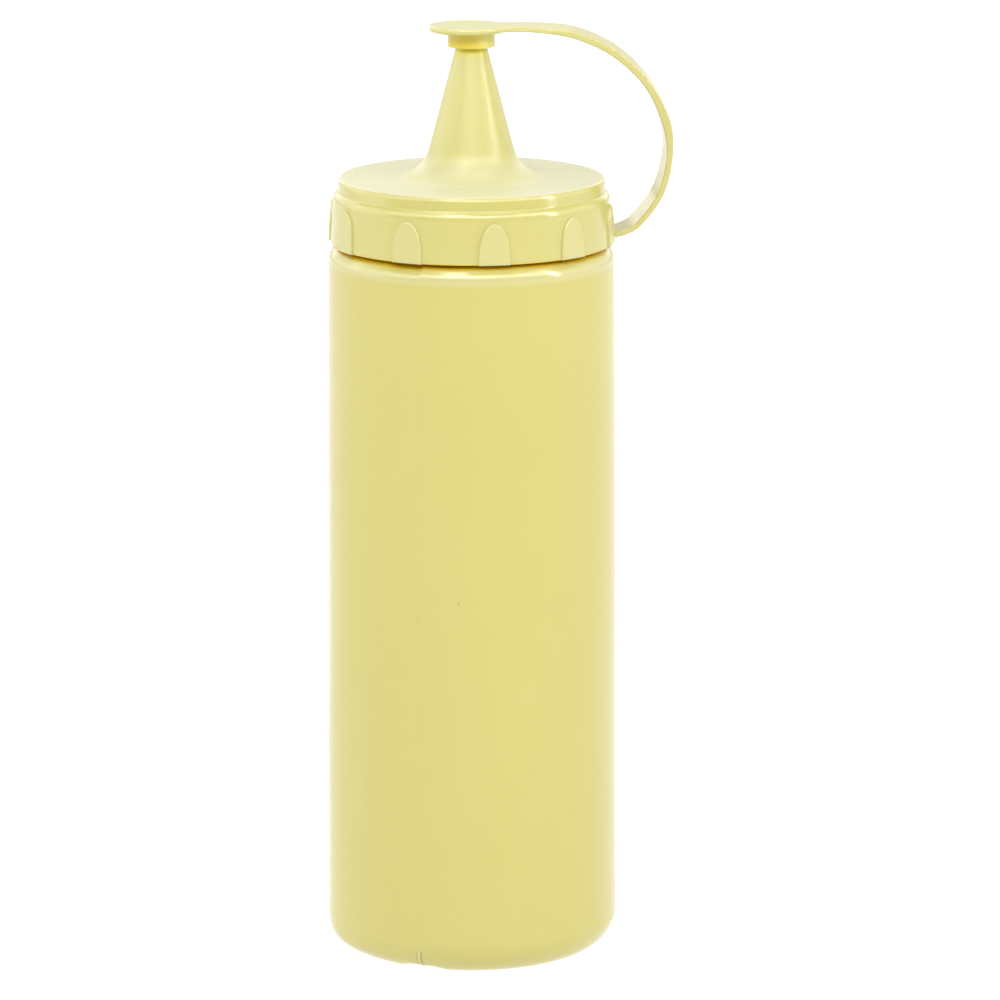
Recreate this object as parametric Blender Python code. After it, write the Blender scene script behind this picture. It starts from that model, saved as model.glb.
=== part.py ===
# Soft plastic squeeze bottle for sauce, with a screw lid that carries a conical
# nozzle, a small tip cap and the strap that ties the cap to the lid's collar.
# Two solids: the blow-moulded bottle, shut and so solid, and the lid, which is
# one moulding with its nozzle, strap and cap.
# Metres, +Z up, origin on the bottle's axis in the plane of its base.
import bpy
import bmesh
import math
from mathutils import Vector

for ob in list(bpy.data.objects):
    bpy.data.objects.remove(ob, do_unlink=True)

MM = 0.001

# ---------------------------------------------------------------- sizes, in mm
# bottle
BODY_R_LOW = 37.93         # outer radius just above the heel
BODY_R_HIGH = 36.95        # outer radius just under the shoulder
HEEL_R = 9.2               # rounding between wall and base
SHOULDER_Z = 182.0         # the wall ends and the shoulder's rounding starts
NECK_FOOT_Z = 185.9
NECK_R = 33.2
NECK_TOP_Z = 198.3
BODY_SEG = 72

# lid
GAP = 0.3                  # play between lid and neck, and between cap and nozzle
SKIRT_Z = 186.5            # lower edge of the lid
SKIRT_R = 36.25            # collar radius at its lower edge
LEDGE_Z = 198.8            # collar's upper end
LEDGE_R = 35.65
STEP_Z = 200.2             # foot of the step wall
STEP_R = 34.65
DISC_R = 34.15             # the lid's top disc
DISC_Z = 203.4
RIM_ROUND = 0.55
FILLET_R = 10.0            # between the top disc and the nozzle
NOZZLE_Z0 = 210.9          # a height at which the nozzle's radius is NOZZLE_R0
NOZZLE_R0 = 10.85
NOZZLE_SLOPE = 0.262       # radius lost per mm of height
NOZZLE_TOP_Z = 240.0
LID_SEG = 72

# grip pads on the collar
PAD_COUNT = 10
PAD_FIRST_DEG = 9.5        # from the front (-Y) towards +X
PAD_HALF_W = 4.05
PAD_ARCH_H = 8.5           # height of the half-ellipse
PAD_TOP_Z = 197.1
PAD_FACE_LOW = 36.88       # distance of the flat face from the axis, at the foot
PAD_FACE_HIGH = 36.42      # the same at the top of the arch

# tip cap
CAP_R = 10.6
CAP_TOP_Z = 242.65
CAP_T = 1.5
CUP_R = 6.03
CUP_Z = 237.1
POCKET_TOP_Z = 240.3

# strap: middle line in a plane through the axis (distance from the axis, height)
STRAP_PATH = [
    (5.0, 241.9), (16.0, 242.1), (27.3, 240.4), (37.7, 235.3), (46.1, 226.2),
    (50.7, 213.0), (48.9, 200.6), (43.0, 191.7), (39.0, 189.0), (35.2, 188.4),
]
STRAP_TURN_DEG = [-6.0, -2.0, 4.0, 8.0]    # the plane's angle behind +X along the strap
STRAP_W = 12.0
STRAP_T = [1.25, 1.45, 1.4, 1.2]
STRAP_EDGE_R = 0.38
STRAP_STEPS = 6


# ------------------------------------------------------------------- helpers
def plastic(name, colour, rough):
    mat = bpy.data.materials.new(name)
    mat.use_nodes = True
    bsdf = mat.node_tree.nodes["Principled BSDF"]
    bsdf.inputs["Base Color"].default_value = (*colour, 1.0)
    bsdf.inputs["Roughness"].default_value = rough
    bsdf.inputs["Metallic"].default_value = 0.0
    return mat


def to_object(name, bm):
    bmesh.ops.recalc_face_normals(bm, faces=bm.faces)
    mesh = bpy.data.meshes.new(name)
    bm.to_mesh(mesh)
    bm.free()
    ob = bpy.data.objects.new(name, mesh)
    bpy.context.scene.collection.objects.link(ob)
    return ob


def arc(cx, cz, r, a0, a1, n):
    """Points of an arc in the (radius, height) plane, angles in degrees."""
    out = []
    for i in range(n + 1):
        a = math.radians(a0 + (a1 - a0) * i / n)
        out.append((cx + r * math.cos(a), cz + r * math.sin(a)))
    return out


def lathe(name, profile, seg):
    """Closed solid of revolution; the profile starts and ends on the axis."""
    bm = bmesh.new()
    rings = []
    for r, z in profile:
        if r < 1e-6:
            rings.append([bm.verts.new((0.0, 0.0, z * MM))])
        else:
            rings.append([
                bm.verts.new((r * MM * math.cos(2 * math.pi * k / seg),
                              r * MM * math.sin(2 * math.pi * k / seg), z * MM))
                for k in range(seg)])
    for lo, hi in zip(rings, rings[1:]):
        for k in range(seg):
            j = (k + 1) % seg
            if len(lo) == 1:
                bm.faces.new((lo[0], hi[j], hi[k]))
            elif len(hi) == 1:
                bm.faces.new((lo[k], lo[j], hi[0]))
            else:
                bm.faces.new((lo[k], lo[j], hi[j], hi[k]))
    return to_object(name, bm)


def loft(name, sections):
    """Closed solid through a row of equal-length point loops."""
    bm = bmesh.new()
    loops = [[bm.verts.new([c * MM for c in p]) for p in s] for s in sections]
    n = len(loops[0])
    for a, b in zip(loops, loops[1:]):
        for k in range(n):
            j = (k + 1) % n
            bm.faces.new((a[k], a[j], b[j], b[k]))
    bm.faces.new(loops[0][::-1])
    bm.faces.new(loops[-1])
    return to_object(name, bm)


def join_solids(target, others):
    """Boolean union of solids, made into the target's own mesh."""
    for other in others:
        mod = target.modifiers.new("union", "BOOLEAN")
        mod.operation = "UNION"
        mod.solver = "EXACT"
        mod.object = other
    bpy.context.view_layer.update()
    deps = bpy.context.evaluated_depsgraph_get()
    mesh = bpy.data.meshes.new_from_object(target.evaluated_get(deps))
    target.modifiers.clear()
    target.data = mesh
    for other in others:
        bpy.data.objects.remove(other, do_unlink=True)
    bm = bmesh.new()
    bm.from_mesh(target.data)
    bmesh.ops.remove_doubles(bm, verts=bm.verts, dist=2e-6)
    bmesh.ops.dissolve_degenerate(bm, edges=bm.edges, dist=2e-6)
    bm.to_mesh(target.data)
    bm.free()


def smooth(ob, degrees):
    """Round walls shade smooth, corners sharper than the angle stay sharp."""
    mesh = ob.data
    for p in mesh.polygons:
        p.use_smooth = True
    mesh.set_sharp_from_angle(angle=math.radians(degrees))


def spline(points, steps):
    """Catmull-Rom through the points."""
    pts = [Vector(p) for p in points]
    pts = [pts[0] * 2 - pts[1]] + pts + [pts[-1] * 2 - pts[-2]]
    out = []
    for i in range(1, len(pts) - 2):
        a, b, c, d = pts[i - 1:i + 3]
        for k in range(steps):
            t = k / steps
            out.append(0.5 * (2 * b + (c - a) * t + (2 * a - 5 * b + 4 * c - d) * t * t
                              + (3 * b - a - 3 * c + d) * t ** 3))
    out.append(pts[-2].copy())
    return out


def along(values, t):
    """Linear reading of evenly spaced values, t from 0 to 1."""
    x = t * (len(values) - 1)
    i = min(int(x), len(values) - 2)
    return values[i] + (values[i + 1] - values[i]) * (x - i)


# -------------------------------------------------------------------- bottle
def bottle_profile():
    pts = [(0.0, 0.0)]
    pts += arc(BODY_R_LOW - HEEL_R, HEEL_R, HEEL_R, -90, 0, 8)
    pts += [(BODY_R_HIGH, SHOULDER_Z)]
    pts += [(36.85, 182.9), (36.6, 183.7), (36.2, 184.45), (35.75, 185.1),
            (35.1, 185.6), (34.4, NECK_FOOT_Z), (NECK_R, NECK_FOOT_Z + 0.15)]
    pts += [(NECK_R, NECK_TOP_Z - 0.5), (NECK_R - 0.5, NECK_TOP_Z), (0.0, NECK_TOP_Z)]
    return pts


bottle = lathe("bottle", bottle_profile(), BODY_SEG)
smooth(bottle, 40)
bottle.data.materials.append(plastic("bottle_plastic", (0.79, 0.70, 0.23), 0.42))


# ----------------------------------------------------------------------- lid
def nozzle_r(z):
    return NOZZLE_R0 - NOZZLE_SLOPE * (z - NOZZLE_Z0)


def lid_profile():
    roof = NECK_TOP_Z + GAP
    bore = NECK_R + GAP
    pts = [(0.0, roof), (bore, roof), (bore, SKIRT_Z)]
    pts += [(SKIRT_R - 0.3, SKIRT_Z), (SKIRT_R, SKIRT_Z + 0.35)]
    pts += [(SKIRT_R + (LEDGE_R - SKIRT_R) * 0.5, (SKIRT_Z + LEDGE_Z) / 2)]
    pts += [(LEDGE_R, LEDGE_Z), (35.5, 199.35), (35.2, 199.75), (STEP_R + 0.1, 200.0)]
    pts += [(STEP_R - 0.12, STEP_Z + 0.25), (34.35, 201.4), (DISC_R + 0.03, DISC_Z - RIM_ROUND)]
    pts += arc(DISC_R - RIM_ROUND, DISC_Z - RIM_ROUND, RIM_ROUND, 30, 90, 3)
    # concave fillet: its circle is tangent to the disc's plane and to the cone
    half = math.atan(NOZZLE_SLOPE)
    foot = nozzle_r(DISC_Z)
    run = FILLET_R * math.tan((math.pi / 2 - half) / 2)
    cx, cz = foot + run, DISC_Z + FILLET_R
    end = 180 + math.degrees(half)
    pts += [(cx + FILLET_R * math.cos(math.radians(a)), cz + FILLET_R * math.sin(math.radians(a)))
            for a in [270 - (270 - end) * i / 7 for i in range(8)]]
    pts += [(nozzle_r(225.0), 225.0)]
    pts += [(nozzle_r(NOZZLE_TOP_Z - 0.3), NOZZLE_TOP_Z - 0.3),
            (nozzle_r(NOZZLE_TOP_Z) - 0.3, NOZZLE_TOP_Z), (0.0, NOZZLE_TOP_Z)]
    return pts


def grip_pad(index):
    """Arched pad with a flat outer face, standing out of the collar."""
    turn = math.radians(PAD_FIRST_DEG + index * 360.0 / PAD_COUNT)
    out = Vector((math.sin(turn), -math.cos(turn), 0.0))
    side = Vector((math.cos(turn), math.sin(turn), 0.0))
    foot, crown = SKIRT_Z, PAD_TOP_Z - PAD_ARCH_H
    shape = [(-PAD_HALF_W, foot), (PAD_HALF_W, foot)]
    for i in range(13):
        a = math.pi * i / 12
        shape.append((PAD_HALF_W * math.cos(a), crown + PAD_ARCH_H * math.sin(a)))

    def face(z):
        t = (z - SKIRT_Z) / (PAD_TOP_Z - SKIRT_Z)
        return PAD_FACE_LOW + (PAD_FACE_HIGH - PAD_FACE_LOW) * t

    mid = Vector((0.0, (foot + PAD_TOP_Z) / 2))
    sections = []
    for depth, inset in ((-2.4, 0.0), (-0.15, 0.0), (0.0, 0.15)):
        ring = []
        for s, z in shape:
            v = Vector((s, z))
            if inset:
                v += (mid - v).normalized() * inset
            d = 34.6 if depth < -1 else face(v.y) + depth
            p = out * d + side * v.x
            ring.append((p.x, p.y, v.y))
        sections.append(ring)
    return loft("pad", sections)


def strap():
    line = spline(STRAP_PATH, STRAP_STEPS)
    n = len(line)
    length = [0.0]
    for a, b in zip(line, line[1:]):
        length.append(length[-1] + (b - a).length)
    sections = []
    for i, p in enumerate(line):
        t = length[i] / length[-1]
        d = (line[min(i + 1, n - 1)] - line[max(i - 1, 0)]).normalized()
        normal = Vector((-d.y, d.x))
        turn = math.radians(along(STRAP_TURN_DEG, t))
        radial = Vector((math.cos(turn), math.sin(turn), 0.0))
        across = Vector((-math.sin(turn), math.cos(turn), 0.0))
        # the band widens into the cap's disc and a little into the collar
        flare = max(0.0, (13.0 - p.x) / 4.0) if t < 0.5 else 0.0
        root = max(0.0, (39.0 - p.x) / 3.0) if t > 0.5 else 0.0
        w = STRAP_W + min(flare, 1.5) ** 2 + 0.8 * min(root, 1.0) ** 2
        h = along(STRAP_T, t) + 0.5 * min(root, 1.0) ** 2
        e = STRAP_EDGE_R
        ring = []
        for sx, sz in ((1, -1), (1, 1), (-1, 1), (-1, -1)):
            a0 = {(1, -1): -90, (1, 1): 0, (-1, 1): 90, (-1, -1): 180}[(sx, sz)]
            for k in range(3):
                a = math.radians(a0 + 45 * k)
                y = sx * (w / 2 - e) + e * math.cos(a)
                z = sz * (h / 2 - e) + e * math.sin(a)
                q = (radial * (p.x + normal.x * z) + across * y
                     + Vector((0.0, 0.0, p.y + normal.y * z)))
                ring.append((q.x, q.y, q.z))
        sections.append(ring)
    return loft("strap", sections)


def cap_profile():
    low = CAP_TOP_Z - CAP_T
    pts = [(0.0, POCKET_TOP_Z), (nozzle_r(POCKET_TOP_Z) + GAP, POCKET_TOP_Z),
           (nozzle_r(CUP_Z) + GAP, CUP_Z), (CUP_R - 0.2, CUP_Z), (CUP_R, CUP_Z + 0.2),
           (CUP_R, low - 0.35), (CUP_R + 0.35, low)]
    pts += arc(CAP_R - CAP_T / 2, CAP_TOP_Z - CAP_T / 2, CAP_T / 2, -90, 90, 6)
    pts += [(0.0, CAP_TOP_Z)]
    return pts


lid = lathe("lid", lid_profile(), LID_SEG)
cap = lathe("cap", cap_profile(), 48)
join_solids(cap, [strap()])
join_solids(lid, [grip_pad(i) for i in range(PAD_COUNT)] + [cap])
smooth(lid, 38)
lid.data.materials.clear()
lid.data.materials.append(plastic("lid_plastic", (0.83, 0.76, 0.28), 0.34))
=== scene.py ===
import bpy
import bmesh
import math
import numpy as np
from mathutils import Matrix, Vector


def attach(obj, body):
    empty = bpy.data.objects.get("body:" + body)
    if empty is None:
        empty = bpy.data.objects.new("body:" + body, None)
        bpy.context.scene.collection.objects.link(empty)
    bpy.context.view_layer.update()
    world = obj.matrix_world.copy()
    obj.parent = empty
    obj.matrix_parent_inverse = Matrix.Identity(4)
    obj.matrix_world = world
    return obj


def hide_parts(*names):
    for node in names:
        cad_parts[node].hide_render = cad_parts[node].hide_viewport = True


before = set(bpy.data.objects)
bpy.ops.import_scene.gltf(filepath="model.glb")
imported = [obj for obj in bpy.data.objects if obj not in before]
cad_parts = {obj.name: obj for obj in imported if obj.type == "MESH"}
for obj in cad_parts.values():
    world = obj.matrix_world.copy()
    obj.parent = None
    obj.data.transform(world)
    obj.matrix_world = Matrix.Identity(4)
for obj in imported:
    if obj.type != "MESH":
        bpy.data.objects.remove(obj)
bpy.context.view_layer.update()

MM = 0.001

# ------------------------------------------------------------------ camera
cam_data = bpy.data.cameras.new("camera")
cam = bpy.data.objects.new("camera", cam_data)
bpy.context.scene.collection.objects.link(cam)
cam_data.lens = 205.6
cam_data.sensor_width = 36.0
cam_data.clip_start = 0.05
cam_data.clip_end = 60.0
cam.location = (0.00732, -1.450, 0.43917)
aim = Vector((0.00732, 0.0, 0.11831)) - Vector(cam.location)
cam.rotation_mode = "QUATERNION"
cam.rotation_quaternion = aim.to_track_quat("-Z", "Y")
bpy.context.scene.camera = cam

scene = bpy.context.scene
scene.view_settings.view_transform = "Standard"
scene.view_settings.look = "None"
scene.view_settings.exposure = 0.0
scene.view_settings.gamma = 1.0


# ----------------------------------------------------------------- helpers
def sstep(a, b, x):
    t = np.clip((np.asarray(x, float) - a) / (b - a), 0.0, 1.0)
    return t * t * (3 - 2 * t)


def wrap(a):
    """Angles in radians brought to -pi..pi."""
    return (np.asarray(a) + np.pi) % (2 * np.pi) - np.pi


def arc(cx, cz, r, a0, a1, n):
    return [(cx + r * math.cos(math.radians(a0 + (a1 - a0) * i / n)),
             cz + r * math.sin(math.radians(a0 + (a1 - a0) * i / n))) for i in range(n + 1)]


def catmull(points, steps):
    pts = [np.array(p, float) for p in points]
    pts = [pts[0] * 2 - pts[1]] + pts + [pts[-1] * 2 - pts[-2]]
    out = []
    for i in range(1, len(pts) - 2):
        a, b, c, d = pts[i - 1:i + 3]
        for k in range(steps):
            t = k / steps
            out.append(0.5 * (2 * b + (c - a) * t + (2 * a - 5 * b + 4 * c - d) * t * t
                              + (3 * b - a - 3 * c + d) * t ** 3))
    out.append(pts[-2].copy())
    return out


def along(values, t):
    """Evenly spaced values read at t, 0 to 1."""
    return np.interp(t, np.linspace(0, 1, len(values)), values)


def add_object(name, verts_mm, faces, fix=True):
    mesh = bpy.data.meshes.new(name)
    mesh.from_pydata((np.asarray(verts_mm, float) * MM).tolist(), [], faces)
    mesh.update()
    if fix:
        bm = bmesh.new()
        bm.from_mesh(mesh)
        bmesh.ops.recalc_face_normals(bm, faces=bm.faces)
        bm.to_mesh(mesh)
        bm.free()
    ob = bpy.data.objects.new(name, mesh)
    bpy.context.scene.collection.objects.link(ob)
    return ob


def bake_modifiers(ob):
    bpy.context.view_layer.update()
    deps = bpy.context.evaluated_depsgraph_get()
    mesh = bpy.data.meshes.new_from_object(ob.evaluated_get(deps))
    ob.modifiers.clear()
    old = ob.data
    ob.data = mesh
    mesh.name = ob.name
    if old.users == 0:
        bpy.data.meshes.remove(old)


def shade(ob, degrees):
    mesh = ob.data
    mesh.polygons.foreach_set("use_smooth", np.ones(len(mesh.polygons), bool))
    mesh.set_sharp_from_angle(angle=math.radians(degrees))


def get_co(ob):
    co = np.empty(len(ob.data.vertices) * 3)
    ob.data.vertices.foreach_get("co", co)
    return co.reshape(-1, 3) / MM


def set_co(ob, co):
    ob.data.vertices.foreach_set("co", (np.asarray(co) * MM).ravel())
    ob.data.update()


# ------------------------------------------------- sizes, in mm, as the CAD
BODY_R_LOW, BODY_R_HIGH, HEEL_R, SHOULDER_Z = 37.93, 36.95, 9.2, 182.0
NECK_FOOT_Z, NECK_R, NECK_TOP_Z = 185.9, 33.2, 198.3
GAP, SKIRT_Z, SKIRT_R, LEDGE_Z, LEDGE_R = 0.3, 186.5, 36.25, 198.8, 35.65
STEP_Z, STEP_R, DISC_R, DISC_Z, RIM_ROUND = 200.2, 34.65, 34.15, 203.4, 0.75
FILLET_R, NOZZLE_Z0, NOZZLE_R0, NOZZLE_SLOPE, NOZZLE_TOP_Z = 10.0, 210.9, 10.85, 0.262, 240.0
PAD_COUNT, PAD_FIRST_DEG, PAD_HALF_W, PAD_ARCH_H, PAD_TOP_Z = 10, 9.5, 4.05, 8.5, 197.1
PAD_FACE_LOW, PAD_FACE_HIGH = 36.88, 36.42
CAP_R, CAP_TOP_Z, CAP_T, CUP_R, CUP_Z, POCKET_TOP_Z = 10.05, 242.70, 1.70, 6.03, 237.1, 240.3
CAP_SHIFT = -0.90                # the disc reaches further on the side away from the strap
STRAP_PATH = [
    (5.0, 241.9), (16.0, 242.1), (27.3, 240.4), (37.7, 235.3), (46.1, 226.2),
    (50.7, 213.0), (48.9, 200.6), (43.0, 191.7), (39.0, 189.0), (35.2, 188.4),
]
STRAP_TURN_DEG = [-6.0, -2.0, 4.0, 8.0]
STRAP_W = 12.0
# along the strap: thickness, and how far its middle stands outside the plain path
STRAP_SHAPE = [
    (0.00, 1.35, 0.05), (0.06, 1.38, 0.15), (0.12, 1.40, 0.15), (0.16, 1.42, 0.13), (0.22, 1.64, 0.15),
    (0.30, 1.68, 0.05), (0.38, 1.78, -0.04), (0.43, 1.76, -0.15), (0.48, 1.85, -0.12), (0.52, 1.95, -0.12),
    (0.55, 2.20, -0.06), (0.58, 2.25, 0.00), (0.62, 2.15, -0.10), (0.66, 1.85, -0.15), (0.70, 1.65, -0.20),
    (0.75, 1.60, -0.13), (0.80, 1.58, 0.02), (0.85, 1.47, 0.15), (0.88, 1.48, 0.20), (0.91, 1.45, 0.15),
    (0.95, 1.30, 0.00), (1.00, 1.30, 0.10),
]
STRAP_EDGE_R = 0.38

SEAM = math.radians(-21.0)       # parting line, from the front (-Y) towards +X; the other is opposite


# ------------------------------------------------------------ bottle shell
def bottle_profile():
    """(radius, height) rings from the middle of the base to the top of the neck."""
    flat = BODY_R_LOW - HEEL_R
    pts = [(r, 0.0) for r in np.concatenate([np.arange(1.2, 21.0, 1.8), np.arange(21.5, 27.5, 0.6)])]
    pts += arc(flat, HEEL_R, HEEL_R, -90, 0, 36)
    marks = [28.5, 71.1, 94.8, 152.0]
    zs = list(np.arange(HEEL_R + 1.2, SHOULDER_Z - 0.8, 1.6))
    for m in marks:
        zs += list(np.arange(m - 3.6, m + 3.7, 0.4))
    zs = sorted(set(round(z, 2) for z in zs))
    kept = []
    for z in zs:
        if not kept or z - kept[-1] > 0.3:
            kept.append(z)
    pts += [(BODY_R_LOW + (BODY_R_HIGH - BODY_R_LOW) * (z - HEEL_R) / (SHOULDER_Z - HEEL_R), z)
            for z in kept]
    curve = [(BODY_R_HIGH, SHOULDER_Z), (36.85, 182.9), (36.6, 183.7), (36.2, 184.45),
             (35.75, 185.1), (35.1, 185.6), (34.4, NECK_FOOT_Z)]
    pts += [tuple(p) for p in catmull(curve, 5)]
    pts += [(33.7, NECK_FOOT_Z + 0.05), (NECK_R, NECK_FOOT_Z + 0.3), (NECK_R, 188.5), (NECK_R, 191.5),
            (NECK_R, 194.5), (NECK_R, NECK_TOP_Z - 0.5), (NECK_R - 0.15, NECK_TOP_Z - 0.15),
            (NECK_R - 0.5, NECK_TOP_Z), (NECK_R - 6, NECK_TOP_Z), (8.0, NECK_TOP_Z)]
    return np.array(pts)


def bottle_angles():
    fine = np.concatenate([np.arange(-1.5, 1.01, 0.1), [-2.1, -1.8, 1.3, 1.6, 2.0]]) / 37.5
    steps = np.radians(np.arange(0.0, 360.0, 1.5))
    out = []
    for s in steps:
        d = min(abs(wrap(s - 0.0)), abs(wrap(s - np.pi)))
        if d > 2.4 / 37.5:
            out.append(s)
    for base in (0.0, np.pi):
        out += list(base + fine)
    out = np.sort(np.array(out) % (2 * np.pi))
    return out + SEAM          # angle 0 of the list lies on the seam


def curl_bend(z):
    """How far the flash curl at the heel stands aside of the parting line, mm."""
    return -0.60 * np.sin(np.clip((z - 0.3) / 6.6, 0, 1) * np.pi)


def bottle_shell():
    prof = bottle_profile()
    ang = bottle_angles()
    R, A = np.meshgrid(prof[:, 0], ang, indexing="ij")
    Z = np.meshgrid(prof[:, 1], ang, indexing="ij")[0]
    rel = wrap(A - SEAM)                         # 0 at the front seam, pi at the rear one
    near = np.where(np.abs(rel) < np.pi / 2, rel, wrap(rel - np.pi))
    s = near * R                                 # distance from the nearer seam, mm
    front = np.abs(rel) < np.pi / 2
    half = np.tanh(np.where(front, rel, -near) * R / 0.13)   # +1 in the front-right half of the mould
    wall = sstep(1.0, 5.0, Z) * (1 - sstep(NECK_FOOT_Z - 0.5, NECK_FOOT_Z + 0.1, Z))

    dr = -0.10 * wall                            # room for the unevenness and the parting line
    dz = np.zeros_like(R)
    # moulding unevenness of a soft wall
    dr += wall * (0.045 * np.sin(2 * A + 0.7) * np.sin(Z / 31.0 + 0.4)
                  + 0.035 * np.sin(3 * A - Z / 24.0 + 1.9)
                  + 0.022 * np.sin(5 * A + Z / 17.0) + 0.012 * np.sin(9 * A - Z / 11.0 + 0.8))
    # the two mould halves meet with a hair's step and a thin raised line
    dr += wall * 0.018 * half
    line = 0.035 + 0.014 * np.sin(Z / 7.3) + 0.010 * np.sin(Z / 2.9 + 1.0)
    for m, w, h in ((152.0, 3.6, 0.08), (94.8, 1.3, 0.19), (71.1, 2.4, 0.14), (28.5, 1.0, 0.14)):
        line = line + h * np.exp(-((Z - m) / w) ** 2) * front
    dr += wall * line * np.exp(-(s / 0.14) ** 2)
    # shoulder: trimmed a little lower beside the front seam, on the left half a softer edge
    top = sstep(SHOULDER_Z - 0.5, NECK_FOOT_Z, Z) * (1 - sstep(NECK_FOOT_Z + 0.05, NECK_FOOT_Z + 0.3, Z))
    deg = np.degrees(rel)
    dip = sstep(-17.0, -9.5, deg) * (1 - sstep(-0.4, 0.8, deg))
    dz -= 0.42 * dip * top
    dz += top * (0.05 * np.sin(3 * A + 0.5) + 0.04 * np.sin(7 * A) + 0.03 * np.sin(13 * A + 1.1))
    dr -= top * 0.10 * (half < 0)
    # heel: fuller on the left
    low = np.exp(-((Z - 3.6) / 3.2) ** 2) * np.exp(-((np.degrees(wrap(A)) + 70.0) / 28.0) ** 2)
    dr += 0.95 * low
    dz -= 0.20 * low * sstep(0.3, 1.5, Z)
    # underside: shallow push-up, a channel along the pinch-off and the weld in it
    d = np.abs(R * np.sin(rel))
    push = 0.45 * (1 - sstep(21.8, 25.6, R)) * (Z < 0.5)
    foot = 1 - sstep(0.0, 2.6, Z)
    side = np.where(front, -1.1, -0.6)           # the channel runs a little off the weld
    q = np.abs(R * np.sin(rel) - side)
    channel = 0.92 * (1 - sstep(1.8, 7.0, q)) * foot * (R > 5)
    under = np.maximum(push, channel)
    weld = 0.30 * np.exp(-(d / 0.35) ** 2) * foot * (1 - 0.6 * sstep(27.5, 30.5, R))
    dz += np.where(Z < 8, under - weld * (1 - sstep(0.5, 3.0, Z)), 0.0)
    # flash curl left at the heel end of the front pinch-off
    curl = np.exp(-((Z - 3.5) / 3.1) ** 4) * front
    bend = curl_bend(Z)
    dr += 0.45 * curl * np.exp(-((s - bend) / 0.24) ** 2)
    dr -= 0.36 * curl * np.exp(-((s - bend - 0.50) / 0.22) ** 2)
    dr -= 0.22 * curl * np.exp(-((s - bend + 0.48) / 0.20) ** 2)

    Rn, Zn = R + dr, Z + dz
    X, Y = Rn * np.sin(A), -Rn * np.cos(A)
    rings, cols = R.shape
    verts = np.stack([X, Y, Zn], -1).reshape(-1, 3)
    idx = np.arange(rings * cols).reshape(rings, cols)
    nxt = np.roll(idx, -1, axis=1)
    quads = np.stack([idx[:-1], nxt[:-1], nxt[1:], idx[1:]], -1).reshape(-1, 4)
    faces = quads.tolist()
    base_mid, top_mid = len(verts), len(verts) + 1
    verts = np.vstack([verts, [[0, 0, Zn[0].mean()], [0, 0, NECK_TOP_Z]]])
    faces += [[base_mid, int(nxt[0, k]), int(idx[0, k])] for k in range(cols)]
    faces += [[top_mid, int(idx[-1, k]), int(nxt[-1, k])] for k in range(cols)]
    ob = add_object("bottle_shell", verts, faces)
    shade(ob, 60)
    return ob


# --------------------------------------------------------------- lid shell
def nozzle_r(z):
    return NOZZLE_R0 - NOZZLE_SLOPE * (z - NOZZLE_Z0)


def lid_profile():
    roof, bore = NECK_TOP_Z + GAP, NECK_R + GAP
    pts = [(6.0, roof), (20.0, roof), (bore - 0.4, roof)] + arc(bore - 0.4, roof - 0.4, 0.4, 90, 0, 3)
    pts += [(bore, z) for z in (196.5, 194.0, 191.5, 189.0)]
    pts += [(bore, SKIRT_Z + 0.35)] + arc(bore + 0.3, SKIRT_Z + 0.3, 0.3, 180, 270, 4)
    pts += arc(SKIRT_R - 0.34, SKIRT_Z + 0.34, 0.34, -90, 0, 7)
    mid = ((SKIRT_R + LEDGE_R) / 2, (SKIRT_Z + LEDGE_Z) / 2)
    wall = [(SKIRT_R, SKIRT_Z + 0.4), (SKIRT_R - 0.1, SKIRT_Z + 2.6), mid, (LEDGE_R + 0.08, LEDGE_Z - 2.6),
            (LEDGE_R + 0.02, LEDGE_Z - 1.4)]
    pts += [tuple(p) for p in catmull(wall, 5)]
    pts += [tuple(p) for p in catmull([(LEDGE_R + 0.02, LEDGE_Z - 1.4), (35.61, 198.05), (35.46, 198.65),
                                      (35.20, 199.2), (34.88, 199.62), (34.62, 199.88)], 4)][1:]
    pts += [(34.555, 199.98), (34.53, 200.15)]
    pts += [(34.47, 200.6), (34.38, 201.3), (34.28, 202.1), (DISC_R + 0.04, DISC_Z - RIM_ROUND)]
    pts += arc(DISC_R - RIM_ROUND, DISC_Z - RIM_ROUND, RIM_ROUND, 5, 90, 9)
    half = math.atan(NOZZLE_SLOPE)
    foot = nozzle_r(DISC_Z)
    run = FILLET_R * math.tan((math.pi / 2 - half) / 2)
    cx, cz = foot + run, DISC_Z + FILLET_R
    end = 180 + math.degrees(half)
    pts += [(r, DISC_Z) for r in (32.5, 30.0, 27.0, 24.0, 22.0)]
    pts += [(cx + FILLET_R * math.cos(math.radians(a)), cz + FILLET_R * math.sin(math.radians(a)))
            for a in [270 - (270 - end) * i / 26 for i in range(27)]]
    for z in np.arange(212.5, NOZZLE_TOP_Z - 0.5, 1.5):
        pts.append((nozzle_r(z), z))
    pts += [(nozzle_r(NOZZLE_TOP_Z - 0.3), NOZZLE_TOP_Z - 0.3),
            (nozzle_r(NOZZLE_TOP_Z) - 0.12, NOZZLE_TOP_Z - 0.08),
            (nozzle_r(NOZZLE_TOP_Z) - 0.35, NOZZLE_TOP_Z), (1.2, NOZZLE_TOP_Z)]
    return pts


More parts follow.
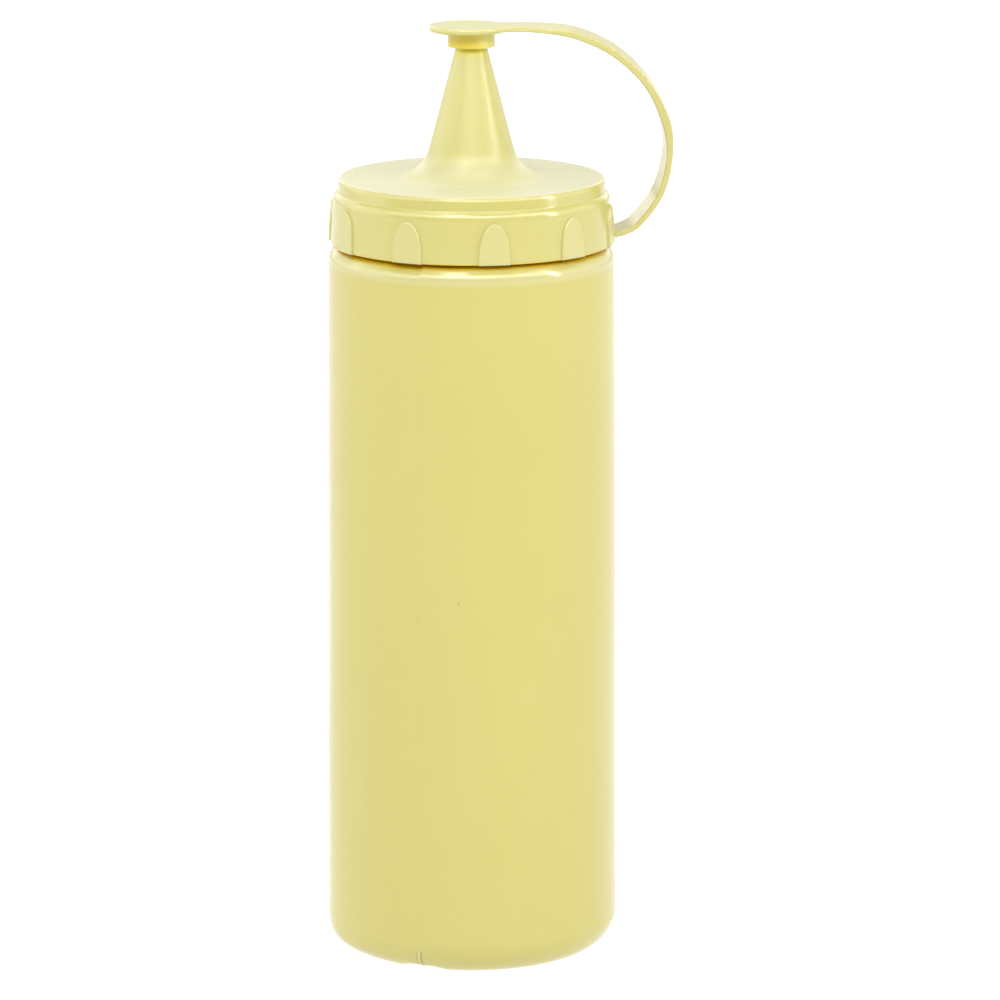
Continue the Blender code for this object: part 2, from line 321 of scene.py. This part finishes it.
def lathe(name, profile, seg, low, high):
    """Closed surface of revolution; low and high are the heights of its two middle points."""
    prof = np.array(profile)
    ang = np.linspace(0, 2 * np.pi, seg, endpoint=False)
    R, A = np.meshgrid(prof[:, 0], ang, indexing="ij")
    Z = np.meshgrid(prof[:, 1], ang, indexing="ij")[0]
    verts = np.stack([R * np.sin(A), -R * np.cos(A), Z], -1).reshape(-1, 3)
    idx = np.arange(R.size).reshape(R.shape)
    nxt = np.roll(idx, -1, axis=1)
    faces = np.stack([idx[:-1], nxt[:-1], nxt[1:], idx[1:]], -1).reshape(-1, 4).tolist()
    a, b = len(verts), len(verts) + 1
    verts = np.vstack([verts, [[0, 0, low], [0, 0, high]]])
    faces += [[a, int(nxt[0, k]), int(idx[0, k])] for k in range(seg)]
    faces += [[b, int(idx[-1, k]), int(nxt[-1, k])] for k in range(seg)]
    return add_object(name, verts, faces)


def grip_pad(index):
    turn = math.radians(PAD_FIRST_DEG + index * 360.0 / PAD_COUNT)
    out = np.array([math.sin(turn), -math.cos(turn), 0.0])
    side = np.array([math.cos(turn), math.sin(turn), 0.0])
    foot, crown = SKIRT_Z + 0.03, PAD_TOP_Z - PAD_ARCH_H
    line = [(-PAD_HALF_W + 2 * PAD_HALF_W * k / 8, foot) for k in range(9)]
    line += [(PAD_HALF_W, foot + (crown - foot) * k / 3) for k in range(1, 3)]
    line += [(PAD_HALF_W * math.cos(a), crown + PAD_ARCH_H * math.sin(a))
             for a in np.linspace(0, np.pi, 37)]
    line += [(-PAD_HALF_W, crown + (foot - crown) * k / 3) for k in range(1, 3)]
    line = np.array(line)
    tang = np.roll(line, -1, axis=0) - np.roll(line, 1, axis=0)
    tang /= np.linalg.norm(tang, axis=1)[:, None]
    inward = np.stack([-tang[:, 1], tang[:, 0]], -1)
    corner_a, corner_b = 0, 8
    inward[corner_a] = (0.7071, 0.7071)
    inward[corner_b] = (-0.7071, 0.7071)
    slope = (PAD_FACE_HIGH - PAD_FACE_LOW) / (PAD_TOP_Z - SKIRT_Z)
    r = 0.42
    rings = [(0.0, None)]
    rings += [(r * (1 - math.cos(math.radians(a))), -r + r * math.sin(math.radians(a)))
              for a in (0, 15, 32, 50, 70, 90)]
    rings += [(0.75, 0.0)]
    mid = np.array([0.0, (foot + PAD_TOP_Z) / 2 - 0.6])
    outlines = [(line + inward * inset, depth) for inset, depth in rings]
    outlines += [(mid + (line - mid) * f, 0.0) for f in (0.80, 0.62, 0.42, 0.20, 0.03)]
    sections = []
    for p2, depth in outlines:
        d = 34.6 if depth is None else (PAD_FACE_LOW + slope * (p2[:, 1] - SKIRT_Z) + depth
                                        - 0.14 * (p2[:, 0] / PAD_HALF_W) ** 2)
        d = np.broadcast_to(d, (len(line),))
        sections.append(out[None] * d[:, None] + side[None] * p2[:, :1] + np.array([0, 0, 1.0])[None] * p2[:, 1:])
    verts = np.concatenate(sections)
    n = len(line)
    faces = []
    for s in range(len(sections) - 1):
        for k in range(n):
            j = (k + 1) % n
            faces.append([s * n + k, s * n + j, (s + 1) * n + j, (s + 1) * n + k])
    faces.append(list(range(n))[::-1])
    faces.append([(len(sections) - 1) * n + k for k in range(n)])
    ob = add_object("pad", verts, faces)
    for mat in (lid_mat, pad_mat_painted_lighter):
        ob.data.materials.append(mat)
    ob.data.polygons.foreach_set("material_index", np.ones(len(ob.data.polygons), np.int32))
    return ob


def lid_shell():
    ob = lathe("lid_shell", lid_profile(), 360, NECK_TOP_Z + GAP, NOZZLE_TOP_Z)
    for mat in (lid_mat, pad_mat_painted_lighter):
        ob.data.materials.append(mat)
    pads = [grip_pad(i) for i in range(PAD_COUNT)]
    for p in pads:
        mod = ob.modifiers.new("union", "BOOLEAN")
        mod.operation = "UNION"
        mod.solver = "EXACT"
        mod.material_mode = "INDEX"
        mod.object = p
    bake_modifiers(ob)
    for p in pads:
        bpy.data.objects.remove(p, do_unlink=True)
    shade(ob, 34)
    return ob


# ----------------------------------------------------------- strap and cap
def cap_profile():
    """The tip cap's disc: a thin lens with a rounded edge and a shallow dish on top."""
    low, e = CAP_TOP_Z - CAP_T, 0.72
    pts = [(0.0, low), (3.0, low), (6.0, low)]
    pts += arc(CAP_R - e, low + e, e, -90, 0, 8) + arc(CAP_R - e, CAP_TOP_Z - e, e, 0, 84, 9)
    pts += [(9.4, CAP_TOP_Z - 0.03), (8.8, CAP_TOP_Z - 0.12), (8.0, CAP_TOP_Z - 0.20),
            (4.0, CAP_TOP_Z - 0.27), (0.0, CAP_TOP_Z - 0.30)]
    return np.array(pts)


def cup_profile():
    """The cup under the disc that holds the nozzle's tip."""
    low = CAP_TOP_Z - CAP_T
    pts = [(0.8, POCKET_TOP_Z), (nozzle_r(POCKET_TOP_Z) + GAP, POCKET_TOP_Z),
           (nozzle_r(CUP_Z) + GAP, CUP_Z + 0.2), (nozzle_r(CUP_Z) + GAP + 0.2, CUP_Z)]
    pts += arc(CUP_R - 0.12, CUP_Z + 0.12, 0.12, -90, 0, 3)
    pts += [(CUP_R, CUP_Z + 1.2), (CUP_R, low - 0.5)]
    pts += arc(CUP_R + 0.4, low - 0.4, 0.4, 180, 100, 5)
    pts += [(CUP_R + 0.35, low + 0.4), (0.8, low + 0.5)]
    return pts


def strap_sections(steps):
    line = np.array(catmull(STRAP_PATH, steps))
    seg = np.linalg.norm(np.diff(line, axis=0), axis=1)
    t = np.concatenate([[0], np.cumsum(seg)]) / seg.sum()
    d = np.gradient(line, axis=0)
    d /= np.linalg.norm(d, axis=1)[:, None]
    turn = np.radians(along(STRAP_TURN_DEG, t))
    radial = np.stack([np.cos(turn), np.sin(turn), 0 * turn], -1)
    across = np.stack([-np.sin(turn), np.cos(turn), 0 * turn], -1)
    up = np.array([0, 0, 1.0])
    centre = radial * line[:, :1] + up * line[:, 1:]
    normal = radial * -d[:, 1:] + up * d[:, :1]
    tangent = np.gradient(centre, axis=0)
    tangent /= np.linalg.norm(tangent, axis=1)[:, None]
    u = line[:, 0]
    root = np.where(t > 0.5, np.clip((39.0 - u) / 3.0, 0, 1.0), 0.0)
    w = STRAP_W + 0.8 * root ** 2
    knots = np.array(STRAP_SHAPE)
    fine = np.linspace(0, 1, 401)
    kernel = np.exp(-0.5 * (np.arange(-24, 25) / 8.0) ** 2)
    kernel /= kernel.sum()
    soft = [np.convolve(np.pad(np.interp(fine, knots[:, 0], knots[:, k]), 24, mode="edge"), kernel, "valid")
            for k in (1, 2)]
    h = np.interp(t, fine, soft[0]) + 0.5 * root ** 2
    centre = centre + normal * np.interp(t, fine, soft[1])[:, None]
    return centre, tangent, normal, across, w, h


def rounded_box_2d(a, b, w, h, e):
    qa, qb = np.abs(a) - (w / 2 - e), np.abs(b) - (h / 2 - e)
    return np.hypot(np.maximum(qa, 0), np.maximum(qb, 0)) + np.minimum(np.maximum(qa, qb), 0) - e


def strap_distance(P, S):
    centre, tangent, normal, across, w, h = S
    best = np.empty(len(P), int)
    for i in range(0, len(P), 4000):
        q = P[i:i + 4000]
        best[i:i + 4000] = np.argmin(((q[:, None] - centre[None]) ** 2).sum(-1), 1)
    rel = P - centre[best]
    c = (rel * tangent[best]).sum(1)
    # a step along the line to the true nearest place, so the result has no facets
    n = len(centre)
    step = np.linalg.norm(centre[1:] - centre[:-1], axis=1).mean()
    f = np.clip(best + c / step, 0, n - 1)
    lo = np.clip(np.floor(f).astype(int), 0, n - 2)
    k = (f - lo)[:, None]
    mix = lambda arr: arr[lo] * (1 - k) + arr[lo + 1] * k
    C, N, Ax, T = mix(centre), mix(normal), mix(across), mix(tangent)
    W, H = w[lo] * (1 - k[:, 0]) + w[lo + 1] * k[:, 0], h[lo] * (1 - k[:, 0]) + h[lo + 1] * k[:, 0]
    rel = P - C
    a, b, c = (rel * Ax).sum(1), (rel * N).sum(1), (rel * T).sum(1)
    d = rounded_box_2d(a, b, W, H, STRAP_EDGE_R)
    over = np.where((f <= 0) | (f >= n - 1), np.abs(c), 0.0)
    return np.where(over > 0, np.where(d > 0, np.hypot(d, over), np.maximum(d, over)), d)


def turned_distance(P, prof):
    """Signed distance to a solid of revolution whose profile starts and ends on the axis."""
    r, z = np.hypot(P[:, 0], P[:, 1]), P[:, 2]
    best = np.full(len(P), 1e9)
    for a, b in zip(prof[:-1], prof[1:]):
        ab = b - a
        t = np.clip(((r - a[0]) * ab[0] + (z - a[1]) * ab[1]) / (ab @ ab), 0, 1)
        best = np.minimum(best, np.hypot(r - a[0] - t * ab[0], z - a[1] - t * ab[1]))
    inside = np.zeros(len(P), bool)
    loop = np.vstack([prof, prof[:1]])
    for a, b in zip(loop[:-1], loop[1:]):
        hit = (a[1] > z) != (b[1] > z)
        with np.errstate(divide="ignore", invalid="ignore"):
            x = a[0] + (z - a[1]) / (b[1] - a[1]) * (b[0] - a[0])
        inside ^= hit & (r < x)
    return np.where(inside, -best, best)


def blend_min(a, b, k):
    h = np.clip(0.5 + 0.5 * (b - a) / k, 0, 1)
    return b * (1 - h) + a * h - k * h * (1 - h)


def strap_and_cap():
    prof = cap_profile()
    coarse = strap_sections(6)
    centre, tangent, normal, across, w, h = coarse
    ring = []
    for a0, sx, sz in ((-90, 1, -1), (0, 1, 1), (90, -1, 1), (180, -1, -1)):
        for k in range(4):
            a = math.radians(a0 + 30 * k)
            ring.append((sx, sz, math.cos(a), math.sin(a)))
    verts, n = [], len(ring)
    for c, no, ac, ww, hh in zip(centre, normal, across, w, h):
        for sx, sz, ca, sa in ring:
            y = sx * (ww / 2 - STRAP_EDGE_R) + STRAP_EDGE_R * ca
            q = sz * (hh / 2 - STRAP_EDGE_R) + STRAP_EDGE_R * sa
            verts.append(c + ac * y + no * q)
    faces = [[s * n + k, s * n + (k + 1) % n, (s + 1) * n + (k + 1) % n, (s + 1) * n + k]
             for s in range(len(centre) - 1) for k in range(n)]
    faces.append(list(range(n))[::-1])
    faces.append([(len(centre) - 1) * n + k for k in range(n)])
    band = add_object("band", verts, faces)
    cap = lathe("strap_and_cap", prof[1:-1], 96, prof[0][1], prof[-1][1])
    offset = np.array([CAP_SHIFT, 0.0, 0.0])
    set_co(cap, get_co(cap) + offset)
    # both closed shells into one mesh, then one skin round them
    bm = bmesh.new()
    bm.from_mesh(cap.data)
    bm.from_mesh(band.data)
    bm.to_mesh(cap.data)
    bm.free()
    bpy.data.objects.remove(band, do_unlink=True)
    rem = cap.modifiers.new("skin", "REMESH")
    rem.mode = "VOXEL"
    rem.voxel_size = 0.26 * MM
    rem.adaptivity = 0.0
    soft = cap.modifiers.new("soft", "SMOOTH")
    soft.factor = 0.5
    soft.iterations = 3
    bake_modifiers(cap)
    # pull the skin onto the exact blended surface
    S = strap_sections(30)

    def dist(P):
        return blend_min(turned_distance(P - offset, prof), strap_distance(P, S), 0.5)

    P = get_co(cap)
    eps = 0.02
    for _ in range(4):
        d0 = dist(P)
        g = np.stack([dist(P + e) - dist(P - e) for e in np.eye(3) * eps], -1) / (2 * eps)
        g /= np.maximum(np.linalg.norm(g, axis=1), 0.3)[:, None]
        P = P - g * np.clip(d0, -0.3, 0.3)[:, None]
    # the strap's highest and outermost places stay inside the CAD's
    P[:, 2] = np.where(P[:, 2] > 242.30, 242.30 + (P[:, 2] - 242.30) * 0.68, P[:, 2])
    P[:, 0] = np.where(P[:, 0] > 51.20, 51.20 + (P[:, 0] - 51.20) * 0.84, P[:, 0])
    set_co(cap, P)
    # shading normals of the exact surface, so that the skin's small faces don't show in it
    eps = 0.04
    exact = np.stack([dist(P + e) - dist(P - e) for e in np.eye(3) * eps], -1)
    exact /= np.maximum(np.linalg.norm(exact, axis=1), 1e-6)[:, None]
    cup = lathe("cup", cup_profile(), 128, POCKET_TOP_Z, CAP_TOP_Z - CAP_T + 0.5)
    bm = bmesh.new()
    bm.from_mesh(cap.data)
    bm.from_mesh(cup.data)
    bm.to_mesh(cap.data)
    bm.free()
    bpy.data.objects.remove(cup, do_unlink=True)
    shade(cap, 180)
    mesh = cap.data
    corner = np.empty(len(mesh.loops), np.int32)
    mesh.loops.foreach_get("vertex_index", corner)
    normals = np.empty(len(mesh.loops) * 3, np.float32)
    mesh.corner_normals.foreach_get("vector", normals)
    normals = normals.reshape(-1, 3)
    own = corner < len(exact)
    normals[own] = exact[corner[own]]
    mesh.normals_split_custom_set(normals.tolist())
    return cap


# --------------------------------------------------------------- materials
def new_material(name):
    mat = bpy.data.materials.new(name)
    mat.use_nodes = True
    nt = mat.node_tree
    nt.nodes.clear()
    out = nt.nodes.new("ShaderNodeOutputMaterial")
    bsdf = nt.nodes.new("ShaderNodeBsdfPrincipled")
    nt.links.new(bsdf.outputs[0], out.inputs["Surface"])
    return mat, nt, bsdf


def noise(nt, vec, scale, detail=2.0, rough=0.5):
    n = nt.nodes.new("ShaderNodeTexNoise")
    n.inputs["Scale"].default_value = scale
    n.inputs["Detail"].default_value = detail
    n.inputs["Roughness"].default_value = rough
    nt.links.new(vec, n.inputs["Vector"])
    return n.outputs["Fac"]


def scaled(nt, vec, scale, loc=(0, 0, 0)):
    m = nt.nodes.new("ShaderNodeMapping")
    m.inputs["Scale"].default_value = scale
    m.inputs["Location"].default_value = loc
    nt.links.new(vec, m.inputs["Vector"])
    return m.outputs["Vector"]


def ranged(nt, value, a, b, c, d, smooth=False):
    m = nt.nodes.new("ShaderNodeMapRange")
    m.interpolation_type = "SMOOTHSTEP" if smooth else "LINEAR"
    m.clamp = True
    for k, v in zip(("From Min", "From Max", "To Min", "To Max"), (a, b, c, d)):
        m.inputs[k].default_value = v
    nt.links.new(value, m.inputs["Value"])
    return m.outputs["Result"]


def calc(nt, op, a, b):
    m = nt.nodes.new("ShaderNodeMath")
    m.operation = op
    for sock, v in zip(m.inputs, (a, b)):
        if isinstance(v, (int, float)):
            sock.default_value = v
        else:
            nt.links.new(v, sock)
    return m.outputs[0]


def mixed(nt, fac, a, b):
    m = nt.nodes.new("ShaderNodeMix")
    m.data_type = "RGBA"
    nt.links.new(fac, m.inputs["Factor"])
    for sock, v in ((m.inputs[6], a), (m.inputs[7], b)):
        if isinstance(v, tuple):
            sock.default_value = (*v, 1.0)
        else:
            nt.links.new(v, sock)
    return m.outputs[2]


def bump(nt, height, strength, distance, under=None):
    b = nt.nodes.new("ShaderNodeBump")
    b.inputs["Strength"].default_value = strength
    b.inputs["Distance"].default_value = distance
    nt.links.new(height, b.inputs["Height"])
    if under is not None:
        nt.links.new(under, b.inputs["Normal"])
    return b.outputs["Normal"]


def spot(nt, obj, centre, radius):
    """1 near a point of the object, in mm, falling to 0 at the radius."""
    m = nt.nodes.new("ShaderNodeVectorMath")
    m.operation = "DISTANCE"
    nt.links.new(obj, m.inputs[0])
    m.inputs[1].default_value = tuple(c * MM for c in centre)
    return ranged(nt, m.outputs["Value"], radius * MM, radius * 0.35 * MM, 0.0, 1.0, True)


def on_wall(deg, z):
    """A point of the bottle's wall, angle from the front towards +X."""
    r = BODY_R_LOW + (BODY_R_HIGH - BODY_R_LOW) * (z - HEEL_R) / (SHOULDER_Z - HEEL_R)
    a = math.radians(deg)
    return (r * math.sin(a), -r * math.cos(a), z)


def along_curl(side, out, step):
    """Points along the flash curl at the heel, side and out in mm from its ridge."""
    pts = []
    for z in np.arange(0.5, 6.5, step):
        r = BODY_R_LOW - HEEL_R + math.sqrt(HEEL_R ** 2 - (HEEL_R - z) ** 2)
        a = SEAM + (float(curl_bend(z)) + side) / r
        up = z + 0.90 * (1 - float(sstep(0.0, 2.6, z)))
        pts.append(((r + out) * math.sin(a), -(r + out) * math.cos(a), up))
    return pts


def band(nt, value, low0, low1, high1=None, high0=None):
    """1 between low1 and high1 in mm, falling to 0 at low0 and high0."""
    up = ranged(nt, value, low0 * MM, low1 * MM, 0.0, 1.0, True)
    if high1 is None:
        return up
    return calc(nt, "MULTIPLY", up, ranged(nt, value, high1 * MM, high0 * MM, 1.0, 0.0, True))


def plastic(name, light, deep, rough, marks=(), specks=(), flow=0.0, painted_shade=(), matte_and_painted_light=(), painted_light_and_shade=()):
    mat, nt, bsdf = new_material(name)
    tc = nt.nodes.new("ShaderNodeTexCoord")
    obj = tc.outputs["Object"]
    cloud = noise(nt, obj, 24.0, 3.0, 0.55)
    fine = noise(nt, obj, 210.0, 4.0, 0.6)
    flowing = noise(nt, scaled(nt, obj, (95.0, 95.0, 5.0)), 1.0, 3.0, 0.55)
    fac = calc(nt, "ADD", calc(nt, "MULTIPLY", cloud, 0.6),
               calc(nt, "ADD", calc(nt, "MULTIPLY", fine, 0.2), calc(nt, "MULTIPLY", flowing, 0.2)))
    colour = mixed(nt, ranged(nt, fac, 0.36, 0.64, 0.0, 1.0), light, deep)
    roughness = calc(nt, "ADD", ranged(nt, fine, 0.3, 0.7, rough - 0.025, rough + 0.025),
                     ranged(nt, cloud, 0.35, 0.65, -0.015, 0.02))
    mask = None
    if marks:
        scratch = noise(nt, scaled(nt, obj, (900.0, 900.0, 160.0)), 1.0, 3.0, 0.6)
        grain = ranged(nt, scratch, 0.52, 0.66, 0.0, 1.0)
        for c, r in marks:
            s = spot(nt, obj, c, r)
            mask = s if mask is None else calc(nt, "MAXIMUM", mask, s)
        mask = calc(nt, "MULTIPLY", mask, grain)
        pale = tuple(min(1.0, c * 1.02 + 0.05) for c in light)
        colour = mixed(nt, calc(nt, "MULTIPLY", mask, 0.09), colour, pale)
        roughness = calc(nt, "ADD", roughness, calc(nt, "MULTIPLY", mask, 0.02))
    for c, r in specks:
        colour = mixed(nt, calc(nt, "MULTIPLY", spot(nt, obj, c, r), 0.7), colour, (0.30, 0.22, 0.05))
    # painted shade and painted highlight: runs of spots that pull the colour towards a darker or a paler tone
    for pts, r, tone, share in painted_light_and_shade:
        run = None
        for c in pts:
            s = spot(nt, obj, c, r)
            run = s if run is None else calc(nt, "MAXIMUM", run, s)
        colour = mixed(nt, calc(nt, "MULTIPLY", run, share), colour, tone)
    if painted_shade or matte_and_painted_light:
        sep = nt.nodes.new("ShaderNodeSeparateXYZ")
        nt.links.new(obj, sep.inputs[0])
        x, y, z = sep.outputs
        radius = calc(nt, "SQRT", calc(nt, "ADD", calc(nt, "MULTIPLY", x, x), calc(nt, "MULTIPLY", y, y)), 0.0)
        # zones with extra roughness and a paler tone; the paler tone is painted light, on faces that catch more
        # light
        for r_in0, r_in1, r_out1, r_out0, zs, tone, extra in matte_and_painted_light:
            rough_and_lit_zone = calc(nt, "MULTIPLY", band(nt, radius, r_in0, r_in1, r_out1, r_out0), band(nt, z, *zs))
            colour = mixed(nt, rough_and_lit_zone, colour, tone)
            roughness = calc(nt, "ADD", roughness, calc(nt, "MULTIPLY", rough_and_lit_zone, extra))
        # painted shade: a darker, deeper-hued tone where shade falls, in recesses and under overhangs
        for r_out, r_in, zs, tone, *thin in painted_shade:
            painted_shade_mask = ranged(nt, radius, r_out * MM, r_in * MM, 0.0, 1.0, True)
            if thin:                # fades towards +X, where more light comes in
                painted_shade_mask = calc(nt, "MULTIPLY", painted_shade_mask,
                             ranged(nt, x, thin[0] * MM, thin[1] * MM, 1.0, 0.0, True))
            colour = mixed(nt, calc(nt, "MULTIPLY", painted_shade_mask, band(nt, z, *zs)), colour, tone)
    nt.links.new(colour, bsdf.inputs["Base Color"])
    nt.links.new(roughness, bsdf.inputs["Roughness"])
    n = bump(nt, noise(nt, obj, 70.0, 2.0, 0.5), 0.30, 0.00010)
    if flow:
        n = bump(nt, flowing, flow, 0.00006, n)
    n = bump(nt, noise(nt, obj, 620.0, 1.0, 0.5), 0.05, 0.00001, n)
    if mask is not None:
        n = bump(nt, mask, 0.12, -0.00002, n)
    nt.links.new(n, bsdf.inputs["Normal"])
    bsdf.inputs["IOR"].default_value = 1.54
    bsdf.inputs["Specular IOR Level"].default_value = 0.82
    return mat


bottle_mat = plastic(
    "bottle_polyethylene", (0.516, 0.455, 0.115), (0.505, 0.444, 0.107), 0.20,
    marks=((on_wall(-6.5, 168.0), 5.0), (on_wall(23.0, 75.0), 4.0), (on_wall(22.0, 36.0), 7.0),
           (on_wall(0.5, 46.0), 5.0), (on_wall(140.0, 120.0), 8.0), (on_wall(-110.0, 60.0), 9.0)),
    specks=((on_wall(-5.0, 99.5), 0.42), (on_wall(64.0, 140.0), 0.3), (on_wall(-150.0, 84.0), 0.35)),
    # painted shade in the gap at the neck foot, under the lid's edge
    flow=0.25, painted_shade=((35.9, 35.0, (184.5, 185.4), (0.550, 0.340, 0.003)),),
    # painted highlight: a paler band round the shoulder, with no change of roughness
    matte_and_painted_light=((30.0, 32.0, 40.0, 41.0, (180.5, 182.4, 183.4, 184.4), (0.540, 0.498, 0.208), 0.0),),
    # painted shade in two lines beside the flash curl and a painted highlight along its ridge
    painted_light_and_shade=((along_curl(0.50, -0.22, 0.6), 0.66, (0.40, 0.32, 0.055), 0.38),
           (along_curl(-0.50, -0.12, 0.6), 0.60, (0.40, 0.32, 0.055), 0.22),
           (along_curl(0.0, 0.36, 0.45), 0.56, (0.620, 0.585, 0.285), 0.85)))
# painted shade: in the cup under the tip cap, giving way on the lit +X side; a painted shadow of the cup on the
# nozzle; and at the lid's lower edge over the gap
LID_PAINTED_SHADE = ((8.2, 7.2, (236.8, 237.0, 240.9, 241.1), (0.64, 0.495, 0.008), 0.0, 4.9),
               (8.2, 7.2, (234.4, 236.3, 236.7, 236.9), (0.65, 0.57, 0.035)),
               (40.0, 38.0, (186.0, 186.2, 186.6, 187.1), (0.60, 0.43, 0.012)))
# rougher zones and paler tones: the disc top and the fillet, where the paler tone is painted sheen; the nozzle,
# rougher and a touch paler; the cup, a lighter tone that is painted light on its lit side; the top of the tip cap
# and strap, lighter as painted light from above
LID_MATTE_AND_PAINTED_LIGHT = ((11.0, 17.0, 34.6, 35.2, (203.15, 203.3, 204.4, 208.5), (0.578, 0.559, 0.340), 0.20),
             (8.0, 10.5, 34.6, 35.2, (203.3, 204.5, 208.5, 212.5), (0.558, 0.529, 0.268), 0.13),
             (-1.0, -0.5, 12.0, 14.0, (206.0, 211.0, 240.0, 240.8), (0.530, 0.490, 0.163), 0.13),
             (-1.0, -0.5, 7.2, 8.2, (236.8, 237.0, 240.9, 241.1), (0.700, 0.640, 0.165), 0.0),
             (-1.0, -0.5, 36.0, 40.0, (241.6, 242.2, 244.0, 245.0), (0.560, 0.525, 0.190), 0.0))
lid_mat = plastic("lid_polypropylene", (0.522, 0.474, 0.148), (0.511, 0.462, 0.139), 0.19,
                  painted_shade=LID_PAINTED_SHADE, matte_and_painted_light=LID_MATTE_AND_PAINTED_LIGHT)
# the pads: more roughness, and a paler tone that is painted light, their faces taking more light from above
pad_mat_painted_lighter = plastic("lid_polypropylene_pads_painted_lighter", (0.536, 0.496, 0.188), (0.525, 0.484, 0.176), 0.34)

# ------------------------------------------------------------------ pieces
bottle = bottle_shell()
bottle.data.materials.append(bottle_mat)
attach(bottle, "root")
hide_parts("bottle")

lid = lid_shell()
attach(lid, "root")
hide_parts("lid")

strap = strap_and_cap()
strap.data.materials.clear()
strap.data.materials.append(lid_mat)
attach(strap, "root")
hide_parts("lid")

# ------------------------------------------------------- floor and lighting
floor_mesh = bpy.data.meshes.new("floor")
floor_mesh.from_pydata([(-8, -6, 0), (8, -6, 0), (8, 10, 0), (-8, 10, 0)], [], [(0, 1, 2, 3)])
floor = bpy.data.objects.new("floor", floor_mesh)
floor.location = (0, 0, -0.00005)
bpy.context.scene.collection.objects.link(floor)
fmat, fnt, fbsdf = new_material("floor_paint")
fbsdf.inputs["Base Color"].default_value = (0.16, 0.16, 0.16, 1)
fbsdf.inputs["Emission Color"].default_value = (1, 1, 1, 1)
fbsdf.inputs["Emission Strength"].default_value = 1.04
fbsdf.inputs["Roughness"].default_value = 0.9
fbsdf.inputs["Specular IOR Level"].default_value = 0.1
floor.data.materials.append(fmat)

world = bpy.data.worlds.new("studio")
scene.world = world
world.use_nodes = True
world.node_tree.nodes["Background"].inputs["Color"].default_value = (1, 1, 1, 1)
world.node_tree.nodes["Background"].inputs["Strength"].default_value = 0.30


def softbox(name, az, el, dist, width, height, watts, aim_at=(0, 0, 0.14)):
    data = bpy.data.lights.new(name, "AREA")
    data.shape = "RECTANGLE"
    data.size, data.size_y = width, height
    data.energy = watts
    ob = bpy.data.objects.new(name, data)
    bpy.context.scene.collection.objects.link(ob)
    a, e = math.radians(az), math.radians(el)
    way = Vector((math.sin(a) * math.cos(e), -math.cos(a) * math.cos(e), math.sin(e)))
    ob.location = Vector(aim_at) + way * dist
    ob.rotation_mode = "QUATERNION"
    ob.rotation_quaternion = way.to_track_quat("Z", "Y")
    ob.visible_camera = False
    return ob


softbox("key_left", -36, 36, 1.7, 0.75, 0.42, 3.4)
softbox("key", -13, 36, 1.7, 0.60, 0.42, 4.6)
softbox("key_top", -17, 51, 1.6, 0.40, 0.40, 3.5)
softbox("key_middle", 10, 36, 1.7, 0.60, 0.42, 4.6)
softbox("key_right", 36, 36, 1.7, 0.75, 0.42, 3.5)
softbox("right_front", 60, 34, 1.7, 0.80, 0.60, 4.3)
softbox("high_left", -45, 66, 1.6, 0.70, 0.60, 1.75)
softbox("high_right", 45, 66, 1.6, 0.70, 0.60, 1.15)
softbox("top", 180, 82, 1.6, 1.20, 1.00, 6.4)
softbox("right_strip", 72, 22, 1.5, 0.17, 0.90, 4.4)
softbox("right_soft", 98, 18, 1.6, 0.80, 0.90, 2.4)
softbox("left_front", -62, 32, 1.7, 0.60, 0.80, 2.8)
softbox("left_soft", -95, 20, 1.6, 1.20, 1.10, 5.6)
softbox("behind_left", -138, 18, 2.0, 2.00, 1.10, 8.5)
softbox("behind_right", 138, 18, 2.0, 2.00, 1.10, 7.0)
softbox("behind_low", 180, 12, 3.0, 3.4, 1.1, 6.4)
softbox("behind_high", 180, 36, 3.0, 3.6, 1.3, 17.5)
